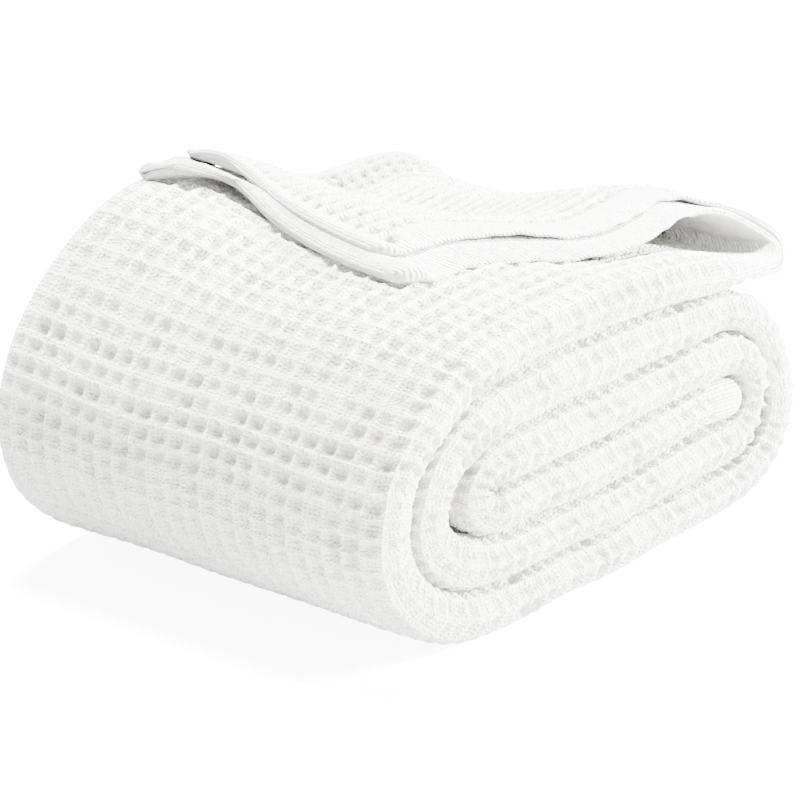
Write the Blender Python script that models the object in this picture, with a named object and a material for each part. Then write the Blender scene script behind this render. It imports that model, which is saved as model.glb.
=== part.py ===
"""Cotton blanket, folded to a long band, rolled flat, with its free end turned back on top.

The band is eight thicknesses of cloth, folded at the near side (-Y) and hemmed at the
far side (+Y). It winds outwards from its inner end, clockwise as seen from -Y, through
six flat passes joined by left and right bends. Past the last pass the outer cloth turns
up in an open loop and lies back on the roll as a thin flap with one layer set back on
the other. The whole is one piece of cloth, so it is one solid.
"""
import math
from collections import namedtuple

import bmesh
import bpy
from mathutils import Vector

MM = 0.001

# Driving dimensions, in millimetres. X runs along the near end face, Y along the roll.
BAND_WIDTH = 268.0          # folded width, an eighth of 2.2 m less what the folds take
BAND_THICKNESS = 28.0       # eight thicknesses of waffle cloth, lightly pressed
TURN_GAP = 1.6              # space left between one turn of the roll and the next
SECTION_SHIFT_X = -162.4    # moves the section so that the roll is centred on X = 0
NEAR_FOLD_DEPTH = 12.0      # how far the rounded near fold stands out
FAR_EDGE_ROUND = 3.5        # softening of the hemmed far side
INNER_END_ROUND = 14.0      # length over which the inner end rounds off
BEND_BULGE = 24.0           # most that the band's outer half swells in a bend
INSIDE_OF_BEND = 0.78       # most of a bend's radius that the inner half may take up
SWELL_SLOPE = 0.30          # how fast the thickness may change along the band
STRAIGHT_STEP = 19.0        # spacing of the cross-sections where the band is straight
TURN_STEP = 13.0            # most that the band turns between cross-sections, in degrees
ARC_POINTS = 3              # curve points inside each quarter of a bend
CURVE_SUBSTEPS = 12         # samples between two neighbouring curve points
OUTWARD_REACH = 84.0        # farthest place outwards that counts as the next turn
INWARD_REACH = 42.0
INNER_END_CUTS = (0.12, 0.40)   # extra cross-sections at the inner end, as shares of a step
LEAST_END_SHARE = 0.35      # thickness left at the very end of a rounded layer

# Free end, turned back on top
FLAP_LAYER = 5.2            # one turned-back layer with its hem
UPPER_SET_BACK = 21.0       # near edge of the upper layer, behind the lower one
UPPER_END_BACK = 13.0       # left end of the upper layer, behind the lower one
THINNING_LENGTH = 95.0      # length over which the top pass thins to the two layers
STEP_START = 120.0          # where the upper layer's near edge leaves the lower one's
STEP_LENGTH = 60.0
FLAP_EDGE_DEPTH = 3.0       # rounding of the turned-back layers' near edges
END_ROUND = 3.2             # rounding of a layer's free end
SPENT_LAYER = 0.1           # share of the upper layer's thickness kept past its end
MIDDLE_STEP_SHARE = 0.4     # how much of the set-back the edge's middle point takes
DIRECTION_REACH = 4.0       # length to each side over which the flap's direction is taken

# Settling of the roll: it is slacker at the hemmed end and pinched at the folds. Towards
# the hemmed end the right half sinks, and the left of the top pass stands up in a crest
FAR_RISE = 0.045
NEAR_PINCH = 0.018
PINCH_REACH = 0.30
ROLL_AXIS_X = 160.0
SLUMP_NEAR = 0.114          # sinking reached close behind the near folds
SLUMP_NEAR_REACH = 0.22
SLUMP_MIDDLE = 0.281        # more of it between these shares of the width
SLUMP_MIDDLE_SPAN = (0.20, 0.78)
SLUMP_RECOVERY = 0.095      # less of it again at the hemmed end
SLUMP_RECOVERY_START = 0.90
SLUMP_BASE = 60.0
SLUMP_START_X = 130.0
SLUMP_FULL_X = 250.0
CREST_RISE = 0.075
CREST_START = 0.5           # share of the width where the crest begins
CREST_GROWS_X = (-40.0, 90.0)
CREST_FADES_X = (118.0, 158.0)
CREST_SLANT = 120.0         # how far nearer the left the crest fades at the near folds
REST_BAND = 1.4             # cloth lower than this settles flat on the table

Pass = namedtuple("Pass", "name z_left z_mid z_right")
PASS_X = (100.0, 180.0, 260.0)
PASSES = {
    "core": Pass("core", 69.0, 67.5, 72.5),
    "second": Pass("second", 98.0, 97.5, 99.0),
    "third": Pass("third", 41.5, 40.0, 44.0),
    "fourth": Pass("fourth", 129.0, 130.0, 124.5),
    "base": Pass("base", 13.2, 13.0, 15.2),
    "top": Pass("top", 161.5, 162.0, 154.0),
}

Bend = namedtuple("Bend", "name side_x side_z start_x end_x")
BENDS = {
    "inner left": Bend("inner left", 64.0, 85.0, 85.0, 86.0),
    "inner right": Bend("inner right", 316.0, 72.0, 285.0, 290.0),
    "middle left": Bend("middle left", 22.0, 84.0, 84.0, 82.0),
    "outer right": Bend("outer right", 337.5, 52.0, 268.0, 277.0),
    "outer left": Bend("outer left", -15.5, 82.0, 82.0, 92.0),
}
INNER_TIP = (300.0, 67.0)

# Mid-line of the turned-back end, from the top pass to the free end. Near and far
# columns are the two ends of each cross-section and y counts from the near end face.
# Between its ends a cross-section stands up by lift and out to the left by bow.
FlapRow = namedtuple("FlapRow", "name x_near x_far y_near y_far z_near z_far lift bow")
FLAP_ROWS = (
    FlapRow("thinning", 292.0, 292.0, 0.0, 268.0, 146.0, 146.0, 0.0, 0.0),
    FlapRow("loop root", 318.0, 318.0, 2.0, 268.0, 140.4, 140.4, 0.0, 0.0),
    FlapRow("loop low", 335.0, 335.0, 5.0, 268.0, 138.4, 138.4, 0.0, 0.0),
    FlapRow("loop side", 345.0, 345.0, 13.0, 268.0, 146.0, 145.5, 0.0, 0.0),
    FlapRow("loop high", 336.0, 337.0, 26.0, 268.0, 161.0, 158.5, 0.0, 0.0),
    FlapRow("loop top", 322.0, 325.0, 35.0, 268.0, 173.5, 169.0, 1.0, 0.0),
    FlapRow("crest", 296.0, 302.0, 38.0, 268.0, 183.5, 178.0, 2.0, 0.0),
    FlapRow("slope", 262.0, 268.0, 32.0, 268.0, 185.5, 181.5, 1.0, 0.0),
    FlapRow("middle", 214.0, 230.0, 31.0, 268.0, 184.0, 183.5, 0.5, 0.0),
    FlapRow("hollow", 164.0, 192.0, 56.0, 268.0, 184.0, 184.0, 1.0, 5.0),
    FlapRow("outer", 130.0, 170.0, 70.0, 268.0, 184.4, 184.5, 2.0, 12.0),
    FlapRow("free end", 84.0, 146.0, 67.0, 268.0, 182.4, 186.0, 4.0, 18.0),
)

COTTON_WHITE = (0.88, 0.88, 0.87, 1.0)
COTTON_ROUGHNESS = 0.92

Station = namedtuple("Station", "near far normal outer inner fold_depth step lift bow")
FOLD_POINTS = 7             # points round the near fold of a cross-section
SIDE_SHARES = (0.32, 0.55, 0.80)    # points along each long side, as shares of its width


def clear_scene():
    """Removes the objects that the scene starts with."""
    for existing in list(bpy.data.objects):
        bpy.data.objects.remove(existing, do_unlink=True)


def quarter_arc(start, end, leaves_along_x):
    """Points inside a quarter ellipse from start to end, ends left out."""
    points = []
    for index in range(1, ARC_POINTS + 1):
        angle = math.pi / 2 * index / (ARC_POINTS + 1)
        if leaves_along_x:
            share_x = math.sin(angle)
            share_z = 1.0 - math.cos(angle)
        else:
            share_x = 1.0 - math.cos(angle)
            share_z = math.sin(angle)
        points.append((start[0] + (end[0] - start[0]) * share_x,
                       start[1] + (end[1] - start[1]) * share_z))
    return points


def bend_points(bend, z_start, z_end):
    """A bend as two quarter ellipses that meet at its outermost place."""
    start = (bend.start_x, z_start)
    side = (bend.side_x, bend.side_z)
    end = (bend.end_x, z_end)
    return ([start] + quarter_arc(start, side, True) + [side]
            + quarter_arc(side, end, False) + [end])


def pass_points(name, heading):
    """A pass across the roll, heading 1 to the right or -1 to the left."""
    row = PASSES[name]
    points = list(zip(PASS_X, (row.z_left, row.z_mid, row.z_right)))
    return points if heading > 0 else points[::-1]


def roll_points():
    """Mid-line of the wound band in its section, from the inner end to the top pass."""
    points = [INNER_TIP] + pass_points("core", -1)
    winding = (
        ("inner left", "core", "second", 1),
        ("inner right", "second", "third", -1),
        ("middle left", "third", "fourth", 1),
        ("outer right", "fourth", "base", -1),
        ("outer left", "base", "top", 1),
    )
    for bend_name, before, after, heading in winding:
        start_row = PASSES[before]
        end_row = PASSES[after]
        z_start = start_row.z_left if heading > 0 else start_row.z_right
        z_end = end_row.z_left if heading > 0 else end_row.z_right
        points += bend_points(BENDS[bend_name], z_start, z_end)
        points += pass_points(after, heading)
    return points


def dense_curve(points):
    """A smooth curve through unevenly spaced points of any dimension, as close samples."""
    control = [Vector(point) for point in points]
    spans = [(b - a).length for a, b in zip(control, control[1:])]
    slopes = [(b - a) / span for a, b, span in zip(control, control[1:], spans)]
    tangents = [slopes[0]]
    for index in range(1, len(slopes)):
        before, after = spans[index - 1], spans[index]
        tangents.append((slopes[index - 1] * after + slopes[index] * before) / (before + after))
    tangents.append(slopes[-1])
    samples = []
    for index, span in enumerate(spans):
        start, end = control[index], control[index + 1]
        for sub in range(CURVE_SUBSTEPS):
            t = sub / CURVE_SUBSTEPS
            samples.append(start * (2 * t ** 3 - 3 * t ** 2 + 1)
                           + tangents[index] * (span * (t ** 3 - 2 * t ** 2 + t))
                           + end * (3 * t ** 2 - 2 * t ** 3)
                           + tangents[index + 1] * (span * (t ** 3 - t ** 2)))
    samples.append(control[-1])
    return samples


def running_length(points):
    """Distance from the first point to each point."""
    lengths = [0.0]
    for first, second in zip(points, points[1:]):
        lengths.append(lengths[-1] + (second - first).length)
    return lengths


def sampled_at(samples, scale, targets):
    """Samples interpolated where a rising scale reaches each target."""
    result = []
    place = 0
    for target in targets:
        while place < len(scale) - 2 and scale[place + 1] < target:
            place += 1
        span = scale[place + 1] - scale[place]
        share = (target - scale[place]) / span if span else 0.0
        result.append(samples[place].lerp(samples[place + 1], min(1.0, share)))
    return result


def even_targets(total, step):
    """Evenly spaced values from zero to total, about a step apart."""
    count = max(2, math.ceil(total / step))
    return [total * index / count for index in range(count + 1)]


def bend_stations(samples):
    """Stations close together in the bends and further apart in the passes."""
    effort = [0.0]
    for index in range(1, len(samples)):
        step = samples[index] - samples[index - 1]
        turn = 0.0
        if index > 1:
            before = samples[index - 1] - samples[index - 2]
            if step.length and before.length:
                turn = math.degrees(before.angle(step))
        effort.append(effort[-1] + step.length / STRAIGHT_STEP + turn / TURN_STEP)
    return sampled_at(samples, effort, even_targets(effort[-1], 1.0))


def tangent_at(points, index):
    """Unit direction of travel at one station."""
    before = points[max(index - 1, 0)]
    after = points[min(index + 1, len(points) - 1)]
    return (after - before).normalized()


def left_normal(direction):
    """Left-hand normal in the section, which is the outer side of the roll."""
    return Vector((-direction[1], direction[0]))


def room_along(route, index, normal, farthest):
    """Distance from a station of the route to its next turn along a normal, or farthest."""
    origin = route[index]
    nearest = farthest
    for other in range(len(route) - 1):
        if other in (index - 1, index):
            continue
        first = route[other] - origin
        edge = route[other + 1] - route[other]
        cross = normal[0] * edge[1] - normal[1] * edge[0]
        if abs(cross) < 1e-9:
            continue
        distance = (first[0] * edge[1] - first[1] * edge[0]) / cross
        share = (first[0] * normal[1] - first[1] * normal[0]) / cross
        if 0.0 <= share <= 1.0 and 0.0 < distance < nearest:
            nearest = distance
    return nearest


def turning_radius(points, index):
    """Radius of the curve at one station."""
    if index in (0, len(points) - 1):
        return math.inf
    before = points[index] - points[index - 1]
    after = points[index + 1] - points[index]
    angle = before.angle(after)
    return (before.length + after.length) / 2 / angle if angle > 1e-6 else math.inf


def half_thicknesses(points):
    """Outer and inner half thickness at each station, filling the space between turns."""
    route = points + [Vector((row.x_near, row.z_near)) for row in FLAP_ROWS[:3]]
    plain_half = (BAND_THICKNESS - TURN_GAP) / 2
    outer = []
    inner = []
    for index in range(len(points)):
        normal = left_normal(tangent_at(points, index))
        out_room = room_along(route, index, normal, OUTWARD_REACH)
        in_room = room_along(route, index, -normal, INWARD_REACH)
        if out_room == OUTWARD_REACH:
            outer.append(plain_half)
        else:
            outer.append(min(BEND_BULGE, (out_room - TURN_GAP) / 2))
        half = plain_half if in_room == INWARD_REACH else (in_room - TURN_GAP) / 2
        inner.append(min(half, INSIDE_OF_BEND * turning_radius(points, index)))
    lengths = running_length(points)
    return eased(outer, lengths), eased(inner, lengths)


def eased(values, lengths):
    """Half thicknesses that change gently along the band and never pass the given room."""
    result = list(values)
    order = list(range(len(values)))
    for sweep in (order, order[::-1]):
        for previous, index in zip(sweep, sweep[1:]):
            reach = abs(lengths[index] - lengths[previous]) * SWELL_SLOPE
            result[index] = min(result[index], result[previous] + reach)
    for _ in range(2):
        averaged = []
        for index in order:
            window = result[max(index - 1, 0):index + 2]
            averaged.append(min(values[index], sum(window) / len(window)))
        result = averaged
    return result


def end_round(distance, reach):
    """Share of the thickness left at a distance from an end that rounds off."""
    if distance >= reach:
        return 1.0
    return max(LEAST_END_SHARE, math.sqrt(1.0 - (1.0 - distance / reach) ** 2))


def roll_stations():
    """Cross-sections of the wound band up to where the top pass starts to thin."""
    points = bend_stations(dense_curve(roll_points()))
    first_step = points[1] - points[0]
    rounding = [points[0] + first_step * share for share in INNER_END_CUTS]
    points[1:1] = rounding
    outer, inner = half_thicknesses(points)
    lengths = running_length(points)
    stations = []
    for index, point in enumerate(points[:-1]):
        share = end_round(lengths[index], INNER_END_ROUND)
        stations.append(Station((point[0], 0.0, point[1]), (point[0], BAND_WIDTH, point[1]),
                                left_normal(tangent_at(points, index)), outer[index] * share,
                                inner[index] * share, NEAR_FOLD_DEPTH * share, 0.0, 0.0,
                                0.0))
    return stations


def flap_targets(total):
    """Places of the cross-sections along the turned-back end, closer at its two ends."""
    upper_end = total - UPPER_END_BACK
    targets = even_targets(upper_end - END_ROUND, STRAIGHT_STEP * 0.75)[1:]
    targets += [upper_end - END_ROUND * 0.3, upper_end]
    targets += [total - END_ROUND, total - END_ROUND * 0.3, total]
    return targets


def flap_stations(last):
    """Cross-sections from the top pass, round the loop, to the free end."""
    root = FlapRow("top pass", last.near[0], last.far[0], 0.0, BAND_WIDTH,
                   last.near[2], last.far[2], 0.0, 0.0)
    samples = dense_curve([row[1:] for row in (root,) + FLAP_ROWS])
    middles = [Vector(((row[0] + row[1]) / 2, (row[4] + row[5]) / 2)) for row in samples]
    lengths = running_length(middles)
    total = lengths[-1]
    targets = flap_targets(total)
    rows = sampled_at(samples, lengths, targets)
    upper_end = total - UPPER_END_BACK
    stations = []
    for row, travelled in zip(rows, targets):
        before, after = sampled_at(middles, lengths, (max(0.0, travelled - DIRECTION_REACH),
                                                      travelled + DIRECTION_REACH))
        thinning = min(1.0, travelled / THINNING_LENGTH)
        ease = thinning * thinning * (3 - 2 * thinning)
        lower = last.outer + (FLAP_LAYER - last.outer) * ease
        upper = last.inner + (FLAP_LAYER - last.inner) * ease
        lower *= end_round(total - travelled, END_ROUND)
        if travelled < upper_end:
            upper *= end_round(upper_end - travelled, END_ROUND)
        else:
            upper *= SPENT_LAYER
        fold_depth = NEAR_FOLD_DEPTH * (1 - ease) + FLAP_EDGE_DEPTH * ease
        step = UPPER_SET_BACK * min(1.0, max(0.0, (travelled - STEP_START) / STEP_LENGTH))
        stations.append(Station((row[0], row[2], row[4]), (row[1], row[3], row[5]),
                                left_normal((after - before).normalized()), lower, upper,
                                fold_depth, step, row[6], row[7]))
    return stations


def band_ring(row):
    """Points round one cross-section: near fold, inner side, far side, outer side."""
    near = Vector(row.near)
    across = Vector(row.far) - near
    width = across.length
    along = across / width
    up = Vector((row.normal[0], 0.0, row.normal[1]))

    def place(distance, height):
        share = distance / width
        arch = 4 * share * (1 - share)
        offset = Vector((-row.bow * arch, 0.0, row.lift * arch))
        return near + along * distance + up * height + offset

    fold = []
    for index in range(FOLD_POINTS):
        angle = 90 - 180 * index / (FOLD_POINTS - 1)
        turn = math.radians(angle)
        height = (row.outer if angle > 0 else row.inner) * math.sin(turn)
        depth = row.fold_depth * (1 - math.cos(turn))
        if angle < 0:
            depth += row.step
        if angle == 0:
            depth += row.step * MIDDLE_STEP_SHARE
        fold.append(place(depth, height))
    soft = min(FAR_EDGE_ROUND, row.outer * 0.6, row.inner * 0.6)
    inner_side = [place(width * share, -row.inner) for share in SIDE_SHARES]
    far_side = [place(width - soft, -row.inner), place(width, -row.inner + soft),
                place(width, row.outer - soft), place(width - soft, row.outer)]
    outer_side = [place(width * share, row.outer) for share in reversed(SIDE_SHARES)]
    return fold + inner_side + far_side + outer_side


def eased_share(value, start, full):
    """Share that grows smoothly from 0 at the start to 1 at the full value."""
    share = min(1.0, max(0.0, (value - start) / (full - start)))
    return share * share * (3 - 2 * share)


def settle(point):
    """Slackens the far end, pinches the near folds and rests the base flat."""
    share = min(1.0, max(0.0, point.y / BAND_WIDTH))
    pinch = max(0.0, 1.0 - share / PINCH_REACH) ** 2
    slump = SLUMP_NEAR * eased_share(share, 0.0, SLUMP_NEAR_REACH)
    slump += SLUMP_MIDDLE * eased_share(share, *SLUMP_MIDDLE_SPAN)
    slump -= SLUMP_RECOVERY * eased_share(share, SLUMP_RECOVERY_START, 1.0)
    slump *= eased_share(point.x, SLUMP_START_X, SLUMP_FULL_X)
    z = point.z - slump * max(0.0, point.z - SLUMP_BASE)
    crest = CREST_RISE * eased_share(share, CREST_START, 1.0)
    slanted_x = point.x + CREST_SLANT * (1.0 - share)
    crest *= eased_share(point.x, *CREST_GROWS_X) * (1 - eased_share(slanted_x, *CREST_FADES_X))
    z *= 1.0 + crest + FAR_RISE * eased_share(share, 0.0, 1.0) - NEAR_PINCH * pinch
    x = ROLL_AXIS_X + (point.x - ROLL_AXIS_X) * (1.0 - NEAR_PINCH * pinch)
    if z < REST_BAND:
        z = 0.0
    return Vector((x + SECTION_SHIFT_X, point.y - BAND_WIDTH / 2, z)) * MM


def loft(name, rings):
    """One closed mesh through a row of rings, with flat caps at its two ends."""
    shape = bmesh.new()
    loops = [[shape.verts.new(settle(point)) for point in ring] for ring in rings]
    count = len(loops[0])
    for first, second in zip(loops, loops[1:]):
        for index in range(count):
            following = (index + 1) % count
            shape.faces.new((first[index], first[following], second[following], second[index]))
    for loop in (loops[0], loops[-1]):
        shape.faces.new(loop[:FOLD_POINTS])
        shape.faces.new((loop[0], loop[FOLD_POINTS - 1], loop[FOLD_POINTS], loop[-1]))
        for index in range(FOLD_POINTS, FOLD_POINTS + len(SIDE_SHARES) + 1):
            opposite = count - 1 - (index - FOLD_POINTS)
            shape.faces.new((loop[index], loop[index + 1], loop[opposite - 1], loop[opposite]))
    bmesh.ops.triangulate(shape, faces=shape.faces[:], ngon_method="EAR_CLIP")
    bmesh.ops.recalc_face_normals(shape, faces=shape.faces[:])
    mesh = bpy.data.meshes.new(name)
    shape.to_mesh(mesh)
    shape.free()
    mesh.shade_smooth()
    return mesh


def cotton_material():
    """Bleached cotton: off-white and quite matt."""
    material = bpy.data.materials.new("bleached_cotton")
    material.use_nodes = True
    shader = material.node_tree.nodes["Principled BSDF"]
    shader.inputs["Base Color"].default_value = COTTON_WHITE
    shader.inputs["Roughness"].default_value = COTTON_ROUGHNESS
    shader.inputs["Metallic"].default_value = 0.0
    return material


def build_blanket(collection):
    """The folded and rolled blanket, as one solid."""
    wound = roll_stations()
    stations = wound + flap_stations(wound[-1])
    mesh = loft("blanket", [band_ring(row) for row in stations])
    mesh.materials.append(cotton_material())
    blanket = bpy.data.objects.new("blanket", mesh)
    collection.objects.link(blanket)
    return blanket


def main():
    clear_scene()
    collection = bpy.data.collections.new("cotton_blanket")
    bpy.context.scene.collection.children.link(collection)
    build_blanket(collection)


main()
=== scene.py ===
"""Waffle-weave cotton blanket, folded to a long band, rolled flat and turned back on top.

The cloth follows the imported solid's winding. Its outer turn, its near folds and its
turned-back end carry the woven cells as real relief, and the hems are plain.
"""

import logging
import math
from dataclasses import dataclass
from enum import Enum

import bmesh
import bpy
import numpy as np
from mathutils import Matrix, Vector

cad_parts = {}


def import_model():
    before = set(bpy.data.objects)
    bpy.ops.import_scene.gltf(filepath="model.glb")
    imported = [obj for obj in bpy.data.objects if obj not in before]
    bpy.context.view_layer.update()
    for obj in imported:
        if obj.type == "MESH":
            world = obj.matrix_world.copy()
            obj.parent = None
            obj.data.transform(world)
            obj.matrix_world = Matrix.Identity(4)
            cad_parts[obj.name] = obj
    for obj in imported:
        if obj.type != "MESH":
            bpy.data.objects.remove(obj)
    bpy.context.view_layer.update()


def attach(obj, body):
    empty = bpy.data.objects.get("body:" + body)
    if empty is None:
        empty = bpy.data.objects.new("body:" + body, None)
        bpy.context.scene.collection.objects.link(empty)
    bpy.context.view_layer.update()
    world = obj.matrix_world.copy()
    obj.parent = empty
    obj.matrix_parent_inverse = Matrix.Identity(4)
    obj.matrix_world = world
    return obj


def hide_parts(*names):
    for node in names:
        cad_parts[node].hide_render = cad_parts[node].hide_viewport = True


LOG = logging.getLogger("cotton_blanket")
MM = 0.001
# At this scale the wave texture has one band for each unit of its coordinates.
WAVE_SCALE = 0.314
# Section places, in millimetres, where one length of the outermost ply ends and the next starts.
UNDER_TOP_PASS = (240.0, 127.0)
LEFT_OF_BASE_PASS = (100.0, 13.0)


class Side(Enum):
    """Which face of the band a measure is taken on."""

    OUTER = 1
    INNER = -1


@dataclass(frozen=True)
class RollForm:
    """Winding of the band in its section, in millimetres.

    A pass has its height at each of pass_x. A bend has the x and z of its side, then the x
    where the pass before it ends and the x where the pass after it starts.
    """

    width: float = 268.0
    thickness: float = 28.0
    turn_gap: float = 1.6
    nearest_turn: float = 3.0
    near_fold_depth: float = 12.0
    far_round: float = 3.5
    bend_bulge: float = 24.0
    inside_of_bend: float = 0.78
    swell_slope: float = 0.30
    outward_reach: float = 84.0
    inward_reach: float = 42.0
    end_round: float = 14.0
    end_x: float = 243.0
    top_z: float = 140.0
    smoothing: float = 26.0
    pass_x: tuple = (100.0, 180.0, 260.0)
    tip: tuple = (300.0, 67.0)
    core: tuple = (69.0, 67.5, 72.5)
    second: tuple = (98.0, 97.5, 99.0)
    third: tuple = (41.5, 40.0, 44.0)
    fourth: tuple = (129.0, 130.0, 124.5)
    base: tuple = (13.2, 13.0, 15.2)
    top: tuple = (161.5, 162.0, 154.0)
    inner_left: tuple = (64.0, 85.0, 85.0, 86.0)
    inner_right: tuple = (316.0, 72.0, 285.0, 290.0)
    middle_left: tuple = (22.0, 84.0, 84.0, 82.0)
    outer_right: tuple = (337.5, 52.0, 268.0, 277.0)
    outer_left: tuple = (-15.5, 82.0, 82.0, 92.0)


@dataclass(frozen=True)
class TurnedBackEnd:
    """Free end that turns up in a loop and lies back on the roll, in millimetres.

    Each row has x, y and z at its near and far ends, then lift and bow between them. A curl
    has its reach from the end, swing, lift, arch and height above the roll. An arch has its
    distance from the end, half width and height.
    """

    layer: float = 5.2
    rim_swell: float = 3.0
    rim_width: float = 9.0
    edge_reach: float = 14.0
    edge_thinning: float = 0.5
    edge_press: float = 3.2
    frill: float = 0.8
    frill_size: tuple = (5.0, 16.0)
    frill_drop: float = 0.6
    upper_relief: float = 1.75
    round_flat: tuple = (-1.8, -0.4, 1.0, 2.4, 3.8)
    end_rows: tuple = (2.4, 1.4, 0.6, 0.15, 0.0)
    upper_end_rows: tuple = (2.2, 1.2, 0.5, 0.12, 0.0)
    corner_round: float = 24.0
    set_back: float = 21.0
    end_back: float = 9.0
    thinning: float = 95.0
    step_start: float = 120.0
    step_length: float = 60.0
    edge_depth: float = 2.0
    end_round: float = 4.2
    parting: tuple = (0.45, 1.05)
    upper_starts: float = 0.25
    upper_shows: tuple = (0.4, 0.8)
    upper_cells: float = 0.6
    hidden_back: float = 3.5
    upper_back: float = 0.5
    upper_slack: float = 0.6
    upper_gap: float = 0.15
    curl_from: float = 0.6
    lower_curl: tuple = (120.0, 54.0, -0.8, 9.0, 3.2)
    upper_curl: tuple = (80.0, 22.0, 0.2, 6.6, 1.4)
    lower_arches: tuple = ((168.0, 13.0, 3.5),)
    upper_arches: tuple = ((78.0, 12.0, 1.6), (190.0, 12.0, 1.2))
    arch_depth: float = 20.0
    rows: tuple = (
        (292.0, 292.0, 0.0, 268.0, 146.0, 146.0, 0.0, 0.0),
        (318.0, 318.0, 2.0, 268.0, 140.4, 140.4, 0.0, 0.0),
        (335.0, 335.0, 5.0, 268.0, 138.4, 138.4, 0.0, 0.0),
        (345.0, 345.0, 13.0, 268.0, 146.0, 145.5, 0.0, 0.0),
        (336.0, 337.0, 26.0, 268.0, 161.0, 158.5, 0.0, 0.0),
        (322.0, 325.0, 35.0, 268.0, 173.5, 169.0, 1.0, 0.0),
        (296.0, 302.0, 38.0, 268.0, 183.5, 178.0, 2.0, 0.0),
        (262.0, 268.0, 32.0, 268.0, 185.5, 181.5, 1.0, 0.0),
        (214.0, 230.0, 31.0, 268.0, 184.0, 183.5, 0.5, 0.0),
        (164.0, 192.0, 56.0, 268.0, 182.5, 183.0, 0.5, 5.0),
        (130.0, 170.0, 70.0, 268.0, 181.8, 183.5, -1.0, 12.0),
        (84.0, 146.0, 67.0, 268.0, 180.8, 185.6, -2.5, 18.0),
    )


@dataclass(frozen=True)
class Settling:
    """How the wound roll relaxes, in millimetres and shares."""

    far_rise: float = 0.045
    near_pinch: float = 0.018
    pinch_reach: float = 0.30
    axis_x: float = 160.0
    shift_x: float = -162.4
    slump_near: float = 0.114
    slump_near_reach: float = 0.22
    slump_middle: float = 0.281
    slump_middle_span: tuple = (0.20, 0.78)
    slump_recovery: float = 0.095
    slump_recovery_start: float = 0.90
    slump_base: float = 60.0
    slump_start_x: float = 130.0
    slump_full_x: float = 250.0
    crest_rise: float = 0.075
    crest_start: float = 0.5
    crest_grows_x: tuple = (-40.0, 90.0)
    crest_fades_x: tuple = (118.0, 158.0)
    crest_slant: float = 120.0

    def settle(self, point: np.ndarray, width: float) -> np.ndarray:
        """Moves section points to where the slack roll has them.

        Args:
            point: x, y, z in the last axis, in millimetres.
            width: width of the band.

        Returns:
            The points in the row frame, in metres.
        """
        x, y, z = point[..., 0], point[..., 1], point[..., 2]
        share = np.clip(y / width, 0.0, 1.0)
        pinch = np.maximum(0.0, 1.0 - share / self.pinch_reach) ** 2
        slump = self.slump_near * eased(share, 0.0, self.slump_near_reach)
        slump = slump + self.slump_middle * eased(share, *self.slump_middle_span)
        slump = slump - self.slump_recovery * eased(share, self.slump_recovery_start, 1.0)
        slump = slump * eased(x, self.slump_start_x, self.slump_full_x)
        z = z - slump * np.maximum(0.0, z - self.slump_base)
        crest = self.crest_rise * eased(share, self.crest_start, 1.0)
        slanted_x = x + self.crest_slant * (1.0 - share)
        crest = crest * eased(x, *self.crest_grows_x)
        crest = crest * (1.0 - eased(slanted_x, *self.crest_fades_x))
        z = z * (1.0 + crest + self.far_rise * eased(share, 0.0, 1.0) - self.near_pinch * pinch)
        x = self.axis_x + (x - self.axis_x) * (1.0 - self.near_pinch * pinch)
        settled = np.stack([x + self.shift_x, y - width / 2, np.maximum(z, 0.0)], axis=-1)
        return settled * MM


@dataclass(frozen=True)
class Weave:
    """The woven cells and their irregularity, in millimetres.

    The two lists of columns are the flat distances from the near fold where the mesh is wide.
    """

    pitch: float = 12.0
    steps: int = 6
    depth: float = 4.0
    sharpness: float = 0.9
    corner_dip: float = 0.10
    fold_reach: float = 14.0
    fold_blend: float = 0.3
    wander: float = 1.8
    wander_size: tuple = (38.0, 46.0)
    wander_fade: float = 20.0
    wobble: float = 1.2
    wobble_size: float = 24.0
    sag: float = 0.7
    sag_size: tuple = (33.0, 40.0)
    sag_grows: tuple = (3.0, 9.0)
    unevenness: float = 0.34
    uneven_size: float = 9.0
    stand: float = 1.3
    grain: float = 0.22
    slant: float = 0.42
    slant_reach: float = 18.0
    hem_width: float = 34.0
    hem_blend: float = 8.0
    inner_hem: tuple = (30.0, 36.0)
    end_hem: tuple = (8.0, 14.0)
    far_hem: tuple = (255.0, 270.0)
    full_width: float = 276.0
    inner_fine: float = 48.0
    fine_fade: float = 10.0
    hidden_columns: tuple = (60.0, 80.0, 110.0, 150.0, 200.0, 250.0, 270.0, 276.0)
    under_columns: tuple = (276.0, 240.0, 190.0, 140.0, 100.0, 70.0, 45.0, 30.0, 18.0, 10.0, 5.0,
                            2.0)

    @property
    def step(self) -> float:
        """Mesh spacing over the cells."""
        return self.pitch / self.steps


@dataclass(frozen=True)
class ClothFinish:
    """Finish of bleached cotton, with sizes in millimetres.

    The cloth is off-white, matt and a little fuzzy. Shade is painted into its pits and into the
    gaps between its threads as a warm grey. The real yarns are about 1 mm apart, too fine to
    show, so they are drawn at 2.6 mm.
    """

    name: str = "bleached_waffle_cotton"
    colour: str = "#f9f9f6"
    # Painted shade: the pits are coloured towards this warm grey as they deepen.
    pit_shade_colour: str = "#c6c3bb"
    roughness: float = 0.95
    sheen: float = 0.12
    shadow_colour: str = "#b9b5ac"
    yarn_pitch: float = 2.6
    rib_pitch: float = 2.6
    fuzz_size: float = 1.6
    lump_size: float = 4.5
    yarn_share: float = 0.35
    rib_share: float = 0.42
    yarn_bend: float = 3.0
    rib_bend: float = 1.0
    relief: float = 2.4
    shade_heights: tuple = (0.95, 0.35)
    shade_share: float = 0.75
    sheen_roughness: float = 0.5
    specular: float = 0.2


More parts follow.
